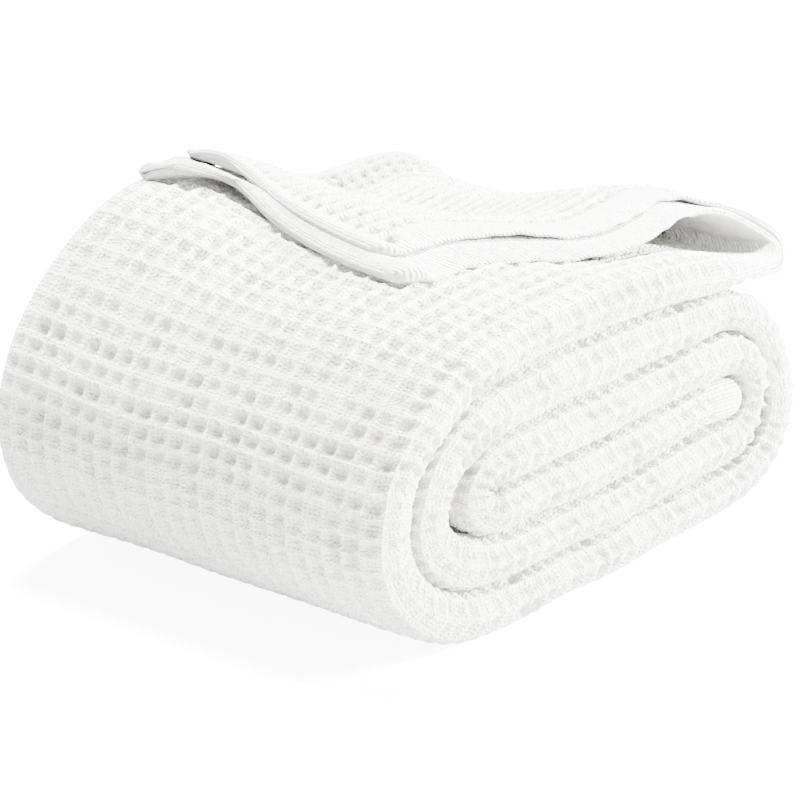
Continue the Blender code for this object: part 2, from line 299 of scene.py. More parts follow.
def eased(value: np.ndarray, start: float, full: float) -> np.ndarray:
    """Share that grows smoothly from 0 at start to 1 at full.

    Args:
        value: places to look at.
        start: place where the share leaves 0.
        full: place where it reaches 1.

    Returns:
        The share at each place.
    """
    share = np.clip((value - start) / (full - start), 0.0, 1.0)
    return share * share * (3.0 - 2.0 * share)


def ripple(u: np.ndarray, v: np.ndarray, seed: float) -> np.ndarray:
    """Smooth uneven field between about -1 and 1 that never changes from run to run.

    Args:
        u: first coordinate, in waves.
        v: second coordinate, in waves.
        seed: picks one of the fields.

    Returns:
        The field at each point.
    """
    total = np.zeros(np.broadcast(u, v).shape)
    for index in range(1, 6):
        turn = seed * 1.7 + index * 2.399
        total = total + np.sin(u * math.cos(turn) * (0.6 + 0.35 * index)
                               + v * math.sin(turn) * (0.6 + 0.35 * index)
                               + seed * index * 3.1)
    return total / 2.6


def speckle(shape: tuple, seed: float) -> np.ndarray:
    """Uneven value between -1 and 1 at every grid point, the same in every run.

    Args:
        shape: rows and columns of the grid.
        seed: picks one of the fields.

    Returns:
        The values.
    """
    rows, columns = np.meshgrid(np.arange(shape[0]), np.arange(shape[1]), indexing="ij")
    wave = np.sin(rows * 12.9898 + columns * 78.233 + seed) * 43758.5453
    return 2.0 * (wave - np.floor(wave)) - 1.0


def hermite(points: np.ndarray, substeps: int = 24) -> np.ndarray:
    """Smooth curve through unevenly spaced points of any dimension.

    Args:
        points: places that the curve passes.
        substeps: points on each span.

    Returns:
        Points of the curve.
    """
    steps = np.diff(points, axis=0)
    spans = np.linalg.norm(steps, axis=1)
    slopes = steps / spans[:, None]
    between = slopes[:-1] * spans[1:, None] + slopes[1:] * spans[:-1, None]
    between = between / (spans[:-1] + spans[1:])[:, None]
    tangents = np.vstack([slopes[:1], between, slopes[-1:]])
    t = np.linspace(0.0, 1.0, substeps, endpoint=False)[None, :, None]
    reach = spans[:, None, None]
    curve = (points[:-1, None] * (2 * t ** 3 - 3 * t ** 2 + 1)
             + tangents[:-1, None] * reach * (t ** 3 - 2 * t ** 2 + t)
             + points[1:, None] * (3 * t ** 2 - 2 * t ** 3)
             + tangents[1:, None] * reach * (t ** 3 - t ** 2))
    return np.vstack([curve.reshape(-1, points.shape[1]), points[-1:]])


def running_length(points: np.ndarray) -> np.ndarray:
    """Distance along a polyline to each of its points."""
    return np.concatenate([[0.0], np.cumsum(np.linalg.norm(np.diff(points, axis=0), axis=1))])


def resampled(samples: np.ndarray, lengths: np.ndarray, spacing: float) -> np.ndarray:
    """Samples at even spacing along their lengths.

    Args:
        samples: values, one row for each sample.
        lengths: running length of each sample.
        spacing: wanted distance between samples.

    Returns:
        The evenly spaced samples.
    """
    count = max(2, int(lengths[-1] / spacing))
    targets = np.linspace(0.0, lengths[-1], count + 1)
    return np.stack([np.interp(targets, lengths, column) for column in samples.T], axis=-1)


def quarter_arc(start: tuple, end: tuple, leaves_along_x: bool) -> list:
    """Points inside a quarter ellipse from start to end, ends left out.

    Args:
        start: first point.
        end: last point.
        leaves_along_x: whether the curve is level at its start.

    Returns:
        The points between.
    """
    points = []
    for index in range(1, 4):
        angle = math.pi / 8 * index
        if leaves_along_x:
            share = (math.sin(angle), 1.0 - math.cos(angle))
        else:
            share = (1.0 - math.cos(angle), math.sin(angle))
        points.append((start[0] + (end[0] - start[0]) * share[0],
                       start[1] + (end[1] - start[1]) * share[1]))
    return points


def roll_route(form: RollForm) -> np.ndarray:
    """Mid-line points of the wound band, from its inner tip to the top pass.

    Args:
        form: passes and bends of the roll.

    Returns:
        The points.
    """
    def across(heights: tuple, heading: int) -> list:
        """Points of one flat pass, in the direction in which the band runs."""
        points = list(zip(form.pass_x, heights))
        return points if heading > 0 else points[::-1]

    points = [form.tip] + across(form.core, -1)
    winding = (
        (form.inner_left, form.core, form.second, 1),
        (form.inner_right, form.second, form.third, -1),
        (form.middle_left, form.third, form.fourth, 1),
        (form.outer_right, form.fourth, form.base, -1),
        (form.outer_left, form.base, form.top, 1),
    )
    for bend, before, after, heading in winding:
        edge = 0 if heading > 0 else 2
        start, side, end = (bend[2], before[edge]), bend[:2], (bend[3], after[edge])
        points += [start] + quarter_arc(start, side, True) + [side]
        points += quarter_arc(side, end, False) + [end] + across(after, heading)
    return np.array(points)


def slope_limited(values: np.ndarray, lengths: np.ndarray, form: RollForm) -> np.ndarray:
    """Values that change gently along the band and stay within the given ones.

    Args:
        values: half thicknesses at even spacing.
        lengths: their distances along the band.
        form: holds the steepest slope and the length that they are averaged over.

    Returns:
        The gentler values.
    """
    result = values.copy()
    order = np.arange(len(values))
    for sweep in (order, order[::-1]):
        for previous, index in zip(sweep, sweep[1:]):
            reach = abs(lengths[index] - lengths[previous]) * form.swell_slope
            result[index] = min(result[index], result[previous] + reach)
    window = max(1, int(form.smoothing / (lengths[1] - lengths[0])))
    kernel = np.ones(window) / window
    for _ in range(2):
        padded = np.pad(result, (window // 2, window - 1 - window // 2), mode="edge")
        result = np.minimum(values, np.convolve(padded, kernel, mode="valid"))
    return result


class Band:
    """The whole folded band as cross-sections along its mid-line, in section millimetres."""

    SPACING = 1.5
    DIRECTION_REACH = 3
    ROUTE_STRIDE = 3
    LENGTH_SHARE = 0.35
    TOP_FROM_Z = 120.0
    TOP_TO_X = 318.0

    def __init__(self, form: RollForm, end: TurnedBackEnd, settling: Settling) -> None:
        """Winds the band and joins its turned-back end to it.

        Args:
            form: winding of the band.
            end: its turned-back end.
            settling: how the roll relaxes.
        """
        self.form = form
        self.end = end
        self.settling = settling
        roll = self._wound()
        last = roll[-1]
        root = (last[0], last[0], 0.0, form.width, last[1], last[1], 0.0, 0.0)
        rows = hermite(np.array((root,) + end.rows))
        self.split = running_length(roll)[-1]
        middles = np.stack([(rows[:, 0] + rows[:, 1]) / 2, (rows[:, 4] + rows[:, 5]) / 2], axis=-1)
        rows = resampled(rows, running_length(middles), self.SPACING)
        wound = np.stack([roll[:, 0], roll[:, 0], np.zeros(len(roll)),
                          np.full(len(roll), form.width), roll[:, 1], roll[:, 1],
                          np.zeros(len(roll)), np.zeros(len(roll))], axis=-1)
        self.rows = np.vstack([wound, rows[1:]])
        middles = np.stack([(self.rows[:, 0] + self.rows[:, 1]) / 2,
                            (self.rows[:, 4] + self.rows[:, 5]) / 2], axis=-1)
        self.lengths = running_length(middles)
        self.total = self.lengths[-1]
        reach = self.DIRECTION_REACH
        ahead = np.vstack([middles[reach:], np.repeat(middles[-1:], reach, axis=0)])
        behind = np.vstack([np.repeat(middles[:1], reach, axis=0), middles[:-reach]])
        direction = ahead - behind
        direction = direction / np.linalg.norm(direction, axis=1)[:, None]
        self.normals = np.stack([-direction[:, 1], direction[:, 0]], axis=-1)
        self.turning = np.unwrap(np.arctan2(direction[:, 1], direction[:, 0]))
        self._thicken(len(roll), roll)

    def _wound(self) -> np.ndarray:
        """Evenly spaced mid-line of the roll, up to where its top pass starts to thin.

        Returns:
            The points.
        """
        curve = hermite(roll_route(self.form))
        even = resampled(curve, running_length(curve), self.SPACING)
        on_top = (even[:, 1] > self.form.top_z) & (even[:, 0] > self.form.end_x)
        on_top[:len(even) // 2] = False
        return even[:int(np.argmax(on_top))]

    def _thicken(self, count: int, roll: np.ndarray) -> None:
        """Half thickness to each side, filling the space between the turns.

        Args:
            count: rows that belong to the roll.
            roll: mid-line of the roll.
        """
        form, end = self.form, self.end
        extra = np.array([(row[0], row[4]) for row in end.rows[:3]])
        route = np.vstack([roll[::self.ROUTE_STRIDE], extra])
        plain = (form.thickness - form.turn_gap) / 2
        normals = self.normals[:count]
        out_room = room_along(roll, normals, route, (form.nearest_turn, form.outward_reach))
        in_room = room_along(roll, -normals, route, (form.nearest_turn, form.inward_reach))
        outer = np.where(out_room >= form.outward_reach, plain,
                         np.minimum(form.bend_bulge, (out_room - form.turn_gap) / 2))
        inner = np.where(in_room >= form.inward_reach, plain, (in_room - form.turn_gap) / 2)
        turn = np.abs(np.gradient(self.turning, self.lengths))[:count]
        inner = np.minimum(inner, form.inside_of_bend / np.maximum(turn, 1e-4))
        lengths = self.lengths[:count]
        outer = slope_limited(outer, lengths, form)
        inner = slope_limited(inner, lengths, form)
        travelled = self.lengths[count:] - self.split
        ease = eased(travelled, 0.0, end.thinning)
        self.outer = np.concatenate([outer, outer[-1] + (end.layer - outer[-1]) * ease])
        self.inner = np.concatenate([inner, inner[-1] + (end.layer - inner[-1]) * ease])
        fold = form.near_fold_depth * (1 - ease) + end.edge_depth * ease
        self.fold = np.concatenate([np.full(count, form.near_fold_depth), fold])

    def at(self, where: np.ndarray, column: np.ndarray) -> np.ndarray:
        """One of the band's own measures at any lengths along its mid-line.

        Args:
            where: lengths along the mid-line.
            column: the measure at each row.

        Returns:
            The measure at each length.
        """
        return np.interp(where, self.lengths, column)

    def place(self, where: np.ndarray, across: np.ndarray, height: np.ndarray) -> np.ndarray:
        """Points of the settled band.

        Args:
            where: lengths along the mid-line.
            across: distances from the near edge.
            height: heights above the mid-surface, to the outer side of the roll.

        Returns:
            Points in the row frame, in metres.
        """
        near = [self.at(where, self.rows[:, column]) for column in (0, 2, 4)]
        far = [self.at(where, self.rows[:, column]) for column in (1, 3, 5)]
        normal_x = self.at(where, self.normals[:, 0])
        normal_z = self.at(where, self.normals[:, 1])
        share = across / np.maximum(self.width_at(where), 1.0)
        arch = 4.0 * share * (1.0 - share)
        x = near[0] + (far[0] - near[0]) * share + normal_x * height
        y = near[1] + (far[1] - near[1]) * share
        z = near[2] + (far[2] - near[2]) * share + normal_z * height
        x = x - self.at(where, self.rows[:, 7]) * arch
        z = z + self.at(where, self.rows[:, 6]) * arch
        return self.settling.settle(np.stack([x, y, z], axis=-1), self.form.width)

    def sunk(self, points: np.ndarray, clear: float) -> np.ndarray:
        """How far points lie too low to rest on the roll's top face.

        Args:
            points: places in the row frame, in metres.
            clear: height in millimetres at which they should be above it.

        Returns:
            The missing height, in metres.
        """
        start = np.flatnonzero(self.rows[:, 5] < self.TOP_FROM_Z)[-1] + 1
        stop = start + int(np.argmax(self.rows[start:, 1] > self.TOP_TO_X))
        top = self.rows[start:stop, 5] + self.outer[start:stop] * self.normals[start:stop, 1]
        x = points[..., 0] / MM - self.settling.shift_x
        y = points[..., 1] / MM + self.form.width / 2
        raised = np.interp(x, self.rows[start:stop, 1], top) + clear
        surface = self.settling.settle(np.stack([x, y, raised], axis=-1), self.form.width)
        return np.maximum(0.0, surface[..., 2] - points[..., 2])

    def width_at(self, where: np.ndarray) -> np.ndarray:
        """Length of a cross-section's line from its near end to its far end."""
        spans = self.rows[:, [1, 3, 5]] - self.rows[:, [0, 2, 4]]
        return self.at(where, np.linalg.norm(spans, axis=1))

    def cloth_length(self, side: Side) -> np.ndarray:
        """Running length of the cloth on one face, at each row of the table.

        Args:
            side: the face.

        Returns:
            The lengths, in millimetres.
        """
        half = self.outer if side is Side.OUTER else self.inner
        across = self.width_at(self.lengths) * self.LENGTH_SHARE
        points = self.place(self.lengths, across, half * side.value)
        return running_length(points) / MM


def room_along(points: np.ndarray, normals: np.ndarray, route: np.ndarray,
               limits: tuple) -> np.ndarray:
    """Distance from each point to the next turn along its normal.

    Args:
        points: points of the mid-line.
        normals: direction in which each of them looks.
        route: mid-line of all the turns.
        limits: nearest distance that counts as another turn, and the farthest looked at.

    Returns:
        The distances, the farthest one where no turn is met.
    """
    nearest, farthest = limits
    edge = np.diff(route, axis=0)
    first = route[None, :-1] - points[:, None]
    normal = normals[:, None]
    cross = normal[..., 0] * edge[None, :, 1] - normal[..., 1] * edge[None, :, 0]
    cross = np.where(np.abs(cross) < 1e-9, 1e-9, cross)
    distance = (first[..., 0] * edge[None, :, 1] - first[..., 1] * edge[None, :, 0]) / cross
    share = (first[..., 0] * normal[..., 1] - first[..., 1] * normal[..., 0]) / cross
    hits = (share >= 0.0) & (share <= 1.0) & (distance > nearest) & (distance < farthest)
    return np.where(hits, distance, farthest).min(axis=1)


class FoldCurve:
    """Quarter of a full, squarish round, from the crown of a fold to its flat face."""

    FULLNESS = 2.3

    def __init__(self) -> None:
        """Measures the unit curve, so that places on it are found by flat length."""
        angles = np.linspace(0.0, math.pi / 2, 400)
        power = 2.0 / self.FULLNESS
        self.into = 1.0 - np.cos(angles) ** power
        self.into[-1] = 1.0
        self.rise = np.sin(angles) ** power
        lengths = running_length(np.stack([self.into, self.rise], axis=-1))
        self.unit = lengths[-1]
        self.shares = lengths / self.unit

    def length(self, depth: np.ndarray, half: np.ndarray) -> np.ndarray:
        """Flat length of the curve for a fold's depth and half thickness."""
        return self.unit * (depth + half) / 2

    def at(self, share: np.ndarray) -> tuple:
        """Shares of depth and height at a share of the flat length."""
        return np.interp(share, self.shares, self.into), np.interp(share, self.shares, self.rise)


@dataclass
class Patch:
    """A grid of cloth before it becomes a mesh: places, flat coordinates and shares of each."""

    name: str
    points: np.ndarray
    flat: np.ndarray
    hem: np.ndarray
    crosswise: np.ndarray
    woven: np.ndarray

    def normals(self) -> np.ndarray:
        """Unit normals of the grid.

        Returns:
            The normal at each point.
        """
        along = np.gradient(self.points, axis=0)
        across = np.gradient(self.points, axis=1)
        normal = np.cross(along, across)
        length = np.linalg.norm(normal, axis=-1)[..., None]
        return normal / np.maximum(length, 1e-12)


class ClothMaker:
    """Lays patches of woven cloth on the band and turns them into objects.

    Lengths are in millimetres, apart from MERGED, the metres within which points are joined.
    """

    START_ROWS = (0.0, 0.3, 1.0)
    END_CLEAR = 3.0
    NEXT_COLUMN = 4.0
    MERGED = 0.0001
    LEAST = 0.05
    ARCH_PEAK = 6.75
    PARTED_DEPTH = 0.1
    RESTS_FROM = 0.3
    EDGE_SPACING = 4.0
    EDGE_COLUMNS = 33
    EDGE_PLIES = 4.0
    EDGE_FULLNESS = 0.6
    EDGE_GROOVE = 4.0
    EDGE_FADE = 0.06
    EDGE_WIDTH = 40.0
    STAGGER = 2.0
    STAGGER_SIZE = 30.0

    def __init__(self, band: Band, weave: Weave, material: bpy.types.Material) -> None:
        """Keeps the band, the weave and the one material that every piece has.

        Args:
            band: the folded band.
            weave: its cells.
            material: the cotton.
        """
        self.band = band
        self.weave = weave
        self.material = material
        self.curve = FoldCurve()

    def ring(self, where: np.ndarray, v: np.ndarray, outer: np.ndarray, inner: np.ndarray,
             fold: np.ndarray, recess: np.ndarray, far_round: np.ndarray) -> tuple:
        """Distance across and height for flat cloth coordinates round a cross-section.

        Args:
            where: lengths along the mid-line.
            v: flat distance from the near fold, negative on the outer face.
            outer: height of the outer face.
            inner: depth of the inner face.
            fold: depth of the rounded near fold.
            recess: how far the near fold stands back from the band's near edge.
            far_round: rounding of the far edge.

        Returns:
            Distances across and heights.
        """
        centre = (outer - inner) / 2
        half = (outer + inner) / 2
        quarter = self.curve.length(fold, half)
        flat = np.abs(v)
        into, rise = self.curve.at(np.clip(flat / quarter, 0.0, 1.0))
        depth = np.where(flat < quarter, fold * into, fold + flat - quarter)
        width = self.band.width_at(where) - recess
        full = self.weave.full_width
        excess = fold + full - quarter - width
        depth = depth - excess * (flat / full) ** 3
        height = half * rise
        into = np.clip((depth - (width - far_round)) / far_round, 0.0, 1.0)
        height = height - far_round * (1.0 - np.sqrt(1.0 - into ** 2))
        return depth + recess, centre + np.sign(-v) * height

    def waffle(self, along: np.ndarray, v: np.ndarray) -> np.ndarray:
        """Depth of the cells, 0 on the ridges and up to 1 in the pits.

        Args:
            along: flat coordinates along the cloth.
            v: flat coordinates across it.

        Returns:
            The depth at each point.
        """
        pitch = self.weave.pitch
        a = np.abs(np.sin(math.pi * along / pitch))
        b = np.abs(np.sin(math.pi * v / pitch))
        near_fold = self.weave.fold_blend * np.exp(-(v / self.weave.fold_reach) ** 2)
        b = b * (1.0 - near_fold) + near_fold
        pit = (a * b) ** self.weave.sharpness
        corner = self.weave.corner_dip * (1.0 - a) * (1.0 - b)
        size = self.weave.uneven_size
        uneven = 1.0 + self.weave.unevenness * ripple(along / size, v / size, 4.0)
        return pit * uneven + corner

    def make(self, patch: Patch, closed: bool = False) -> bpy.types.Object:
        """Turns a patch into a mesh object with its cells in relief.

        Args:
            patch: the grid.
            closed: whether its thin ends are sewn up.

        Returns:
            The new object.
        """
        rows, columns = patch.points.shape[:2]
        normals = patch.normals()
        outward = patch.points - patch.points.mean(axis=1, keepdims=True)
        if float((normals * outward).sum(axis=-1).mean()) < 0.0:
            normals = -normals
        cells = self.waffle(patch.flat[..., 1], patch.flat[..., 0])
        relief = self.weave.depth * cells - self.weave.stand
        relief = relief + self.weave.grain * speckle(cells.shape, 5.0)
        points = patch.points - normals * (relief * patch.woven * MM)[..., None]
        points[..., 2] = np.maximum(points[..., 2], 0.0)
        shape = bmesh.new()
        bmesh.ops.create_grid(shape, x_segments=columns - 1, y_segments=rows - 1, size=1.0)
        mesh = bpy.data.meshes.new(patch.name)
        shape.to_mesh(mesh)
        shape.free()
        mesh.vertices.foreach_set("co", points.reshape(-1).astype(np.float32))
        corners = np.empty(len(mesh.loops), np.int32)
        mesh.loops.foreach_get("vertex_index", corners)
        layer = mesh.uv_layers.new(name="cloth")
        flat = patch.flat.reshape(-1, 2)[corners] * MM
        layer.data.foreach_set("uv", flat.reshape(-1).astype(np.float32))
        # The cells' depth, kept as the mask of the painted shade in the pits.
        pit = np.clip(cells, 0.0, 1.0) * patch.woven
        for label, values in (("hem", patch.hem), ("crosswise", patch.crosswise), ("pit", pit)):
            attribute = mesh.attributes.new(label, "FLOAT", "POINT")
            attribute.data.foreach_set("value", values.reshape(-1).astype(np.float32))
        mesh.update()
        cleaned = bmesh.new()
        cleaned.from_mesh(mesh)
        bmesh.ops.remove_doubles(cleaned, verts=cleaned.verts[:], dist=self.MERGED)
        if closed:
            edges = [edge for edge in cleaned.edges if edge.is_boundary]
            bmesh.ops.holes_fill(cleaned, edges=edges, sides=0)
        bmesh.ops.recalc_face_normals(cleaned, faces=cleaned.faces[:])
        cleaned.to_mesh(mesh)
        cleaned.free()
        mesh.shade_smooth()
        mesh.materials.append(self.material)
        piece = bpy.data.objects.new(patch.name, mesh)
        bpy.context.scene.collection.objects.link(piece)
        LOG.info("%s: %d triangles", patch.name, sum(len(f.vertices) - 2 for f in mesh.polygons))
        return piece

    def declare(self, piece: bpy.types.Object) -> None:
        """Attaches a piece to the frame's root body and hides the blanket's solid.

        Args:
            piece: the sheet.
        """
        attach(piece, "root")
        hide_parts("blanket")

    def columns(self, outer_fine: float) -> np.ndarray:
        """Flat coordinates across, close where the cells show and wide where hidden.

        Args:
            outer_fine: how far the outer face's cells are modelled from the near fold.

        Returns:
            The coordinates, negative on the outer face.
        """
        step, inner_fine = self.weave.step, self.weave.inner_fine
        fine = np.arange(-round(outer_fine / step), round(inner_fine / step) + 1) * step
        hidden = self.weave.hidden_columns
        before = [-place for place in reversed(hidden) if place > outer_fine + self.NEXT_COLUMN]
        after = [place for place in hidden if place > inner_fine + self.NEXT_COLUMN]
        return np.concatenate([before, fine, after])

    def cover(self, name: str, start: float, stop: float, outer_fine: float,
              last: bool = False) -> bpy.types.Object:
        """A length of the outermost ply: outer face, near fold and inner face.

        Args:
            name: name of the piece.
            start: running cloth length where it starts.
            stop: running cloth length where it stops.
            outer_fine: how far the outer face's cells are modelled from the near fold.
            last: whether this length runs to the free end.

        Returns:
            The piece.
        """
        band, end, weave = self.band, self.band.end, self.weave
        cloth = band.cloth_length(Side.OUTER)
        along = np.arange(round(start / weave.step), round(stop / weave.step) + 1) * weave.step
        if start <= 0.0:
            along = np.concatenate([self.START_ROWS, along[1:]])
        if last:
            limit = cloth[-1]
            along = along[along < limit - self.END_CLEAR]
            along = np.concatenate([along, limit - np.array(end.end_rows)])
        v = self.columns(outer_fine)
        grid_v = np.broadcast_to(v[None, :], (len(along), len(v)))
        grid_a = np.broadcast_to(along[:, None], grid_v.shape)
        drift = weave.wander * ripple(grid_a / weave.wander_size[0], grid_v / weave.wander_size[1],
                                      1.0)
        ends = eased(grid_a, along[0], along[0] + weave.wander_fade)
        ends = ends * eased(-grid_a, -along[-1], weave.wander_fade - along[-1])
        heading = np.cos(np.interp(grid_a, cloth, band.turning))
        slant = -weave.slant * np.minimum(np.abs(grid_v), weave.slant_reach) * heading
        where = np.interp(grid_a + (drift + slant) * ends, cloth, band.lengths)
        travelled = where - band.split
        thin = eased(travelled, 0.0, end.thinning)
        outer = band.at(where, band.outer)
        inner, parting = self.parted(where, band.at(where, band.inner))
        rim = eased(where, band.total - 2 * end.rim_width, band.total - end.rim_width)
        inner = inner + end.rim_swell * rim * parting
        lying = eased(travelled, end.step_start, end.step_start + end.step_length)
        edge = np.exp(-(grid_v / end.edge_reach) ** 2) * lying ** 3 * (1.0 - rim)
        rounding = end_round(band.total - where, end.end_round)
        centre = (outer - inner) / 2
        half = (outer + inner) / 2
        centre = centre + half * end.edge_thinning * edge
        half = half * (1.0 - end.edge_thinning * edge) * rounding
        start_round = end_round(where, band.form.end_round)
        half = half * start_round
        fold = band.at(where, band.fold) * np.minimum(rounding, start_round)
        recess = np.zeros_like(where) + (1.0 - start_round) * band.form.near_fold_depth
        wobble = weave.wobble * ripple(grid_a / weave.wobble_size, np.zeros_like(grid_v), 2.0)
        wobble = wobble * (1.0 - thin)
        recess = recess + np.maximum(wobble, -weave.wobble / 2) + weave.wobble / 2
        recess = recess + self.corner(band.total - where)
        depth, height = self.ring(where, grid_v, centre + half, half - centre, fold, recess,
                                  self.far_round(half, thin))
        sag = ripple(grid_a / weave.sag_size[0], grid_v / weave.sag_size[1], 3.0)
        sag = weave.sag * sag - weave.sag
        height = height + np.sign(height) * sag * eased(np.abs(height), *weave.sag_grows)
        height = height - self.arches(where, grid_v, end.lower_arches) * thin
        frill = ripple(grid_a / end.frill_size[0], grid_v / end.frill_size[1], 8.0)
        height = height + (end.edge_press + end.frill * frill) * edge
        points = band.place(where, depth, height)
        points = points + self.curl(where, depth, end.lower_curl)
        fine_in = 1.0 - eased(grid_v, weave.inner_fine - weave.fine_fade, weave.inner_fine)
        fine_out = 1.0 - eased(-grid_v, outer_fine - weave.fine_fade, outer_fine)
        hem = np.maximum(1.0 - eased(where, *weave.inner_hem), thin)
        flat_a = np.array(grid_a)
        if last:
            flat_a[-len(end.round_flat):] = limit + np.array(end.round_flat)[:, None]
        piece = self.make(Patch(name, points, np.stack([grid_v, flat_a], axis=-1), hem, lying,
                                fine_in * fine_out * (1.0 - hem)))
        self.declare(piece)
        return piece

    def parted(self, where: np.ndarray, inner: np.ndarray) -> tuple:
        """Depth of the inner face, which draws back where the upper layer parts from it.

        Args:
            where: lengths along the mid-line.
            inner: depth of the whole band's inner face.

        Returns:
            The depth, and the share to which the layers have parted.
        """
        end = self.band.end
        start, full = (share * end.thinning for share in end.parting)
        parting = eased(where - self.band.split, start, full)
        return inner * (1.0 - parting) - self.PARTED_DEPTH * parting, parting

    def far_round(self, half: np.ndarray, thin: np.ndarray) -> np.ndarray:
        """Rounding of the far edge, full where the band has thinned to one layer.

        Args:
            half: half thickness.
            thin: share to which the band has thinned.

        Returns:
            The rounding at each point.
        """
        rounding = self.band.form.far_round * (1.0 - thin) + (half - self.LEAST) * thin
        return np.maximum(rounding, self.LEAST)

    def corner(self, from_end: np.ndarray) -> np.ndarray:
        """How far the near edge stands back where a turned-back layer's corner is round.

        Args:
            from_end: distances from the layer's end.

        Returns:
            The recess at each point.
        """
        reach = self.band.end.corner_round
        share = np.clip(1.0 - from_end / reach, 0.0, 1.0)
        return reach * (1.0 - np.sqrt(1.0 - share ** 2))

    def curl(self, where: np.ndarray, across: np.ndarray, amount: tuple) -> np.ndarray:
        """Swing of a turned-back layer's far corner, outwards over the roll's shoulder.

        Args:
            where: lengths along the mid-line.
            across: distances from the near edge.
            amount: reach from the end, swing, lift, arch and height above the roll.

        Returns:
            What is added to each point, in metres.
        """
        reach, swing, lift, arch, clear = amount
        share = across / np.maximum(self.band.width_at(where), 1.0)
        start = self.band.end.curl_from
        part = np.clip((share - start) / (1.0 - start), 0.0, 1.0)
        fade = eased(where, self.band.total - reach, self.band.total)
        turned = eased(part, 0.0, 1.0) * fade
        rise = lift * turned + arch * self.ARCH_PEAK * part ** 2 * (1.0 - part) * fade
        shift = np.stack([-swing * turned ** 2, np.zeros_like(turned), rise], axis=-1) * MM
        middle = self.band.place(where, across, np.zeros_like(across)) + shift
        shift[..., 2] += self.band.sunk(middle, clear) * eased(fade, 0.0, self.RESTS_FROM)
        return shift

    def arches(self, where: np.ndarray, v: np.ndarray, places: tuple) -> np.ndarray:
        """Lift of the near edge where it stands up in small arches.

        Args:
            where: lengths along the mid-line.
            v: flat distance from the near edge.
            places: distance from the free end, half width and height of each arch.

        Returns:
            The lift at each point.
        """
        lift = np.zeros_like(where)
        inwards = np.abs(v) / self.band.end.arch_depth
        for from_end, half, height in places:
            away = (where - self.band.total + from_end) / half
            lift = lift + height * np.exp(-away ** 2 - inwards ** 2)
        return lift

    def upper_layer(self, flat: tuple) -> bpy.types.Object:
        """The upper turned-back layer: waffle in its middle, plain hems, thick rims.

        Args:
            flat: cut width and length, in metres; not used.

        Returns:
            The piece.
        """
        band, end, weave = self.band, self.band.end, self.weave
        cloth = band.cloth_length(Side.INNER)
        first = np.interp(band.split + end.thinning * end.upper_starts, band.lengths, cloth)
        limit = np.interp(band.total - end.end_back, band.lengths, cloth)
        count = int((limit - first - self.END_CLEAR) / weave.step)
        along = limit - self.END_CLEAR - np.arange(count, -1, -1) * weave.step
        along = np.concatenate([along, limit - np.array(end.upper_end_rows)])
        top = np.arange(round(weave.full_width / weave.step) + 1) * weave.step
        v = np.concatenate([top, -np.array(weave.under_columns), [0.0]])
        grid_v = np.broadcast_to(v[None, :], (len(along), len(v)))
        grid_a = np.broadcast_to(along[:, None], grid_v.shape)
        where = np.interp(grid_a, cloth, band.lengths)
        travelled = where - band.split
        lying = eased(travelled, end.step_start, end.step_start + end.step_length)
        hidden = 1.0 - eased(travelled, *(share * end.thinning for share in end.upper_shows))
        from_end = band.total - end.end_back - where
        rim = np.exp(-(from_end / end.rim_width) ** 4)
        edge = np.exp(-(grid_v / end.edge_reach) ** 2) * lying * (1.0 - rim)
        rounding = end_round(from_end, end.end_round)
        rounding = rounding * end_round(where - where[0, 0], end.end_round)
        thick = end.layer - end.upper_slack + end.rim_swell * rim
        thick = thick * (1.0 - end.edge_thinning * edge)
        centre = -end.upper_gap - thick / 2
        half = thick / 2 * rounding
        fold = end.edge_depth * rounding
        recess = end.set_back * lying + end.hidden_back * hidden + end.upper_back
        recess = recess + self.corner(from_end)
        depth, height = self.ring(where, grid_v, centre + half, half - centre, fold, recess,
                                  half)
        height = height - self.arches(where, grid_v, end.upper_arches)
        frill = ripple(grid_a / end.frill_size[0], grid_v / end.frill_size[1], 9.0)
        frill = frill - end.frill_drop
        height = height + end.frill * frill * edge
        points = band.place(where, depth, height)
        points = points + self.curl(where, depth, end.upper_curl)
        from_edge = np.minimum(np.abs(grid_v), from_end)
        plain = 1.0 - eased(from_edge, weave.hem_width - weave.hem_blend, weave.hem_width)
        at_end = from_end < np.abs(grid_v)
        plain = np.where(at_end, 1.0 - eased(from_end, *weave.end_hem), plain)
        facing = (grid_v > 0.0) * (1.0 - eased(grid_v, *weave.far_hem))
        begin = eased(travelled, end.thinning * end.upper_cells, end.thinning)
        flat_a = np.array(grid_a - limit)
        flat_a[-len(end.round_flat):] = np.array(end.round_flat)[:, None]
        piece = self.make(Patch("upper_layer", points, np.stack([grid_v, flat_a], axis=-1),
                                plain, lying, end.upper_relief * facing * (1.0 - plain) * begin),
                          closed=True)
        self.declare(piece)
        return piece

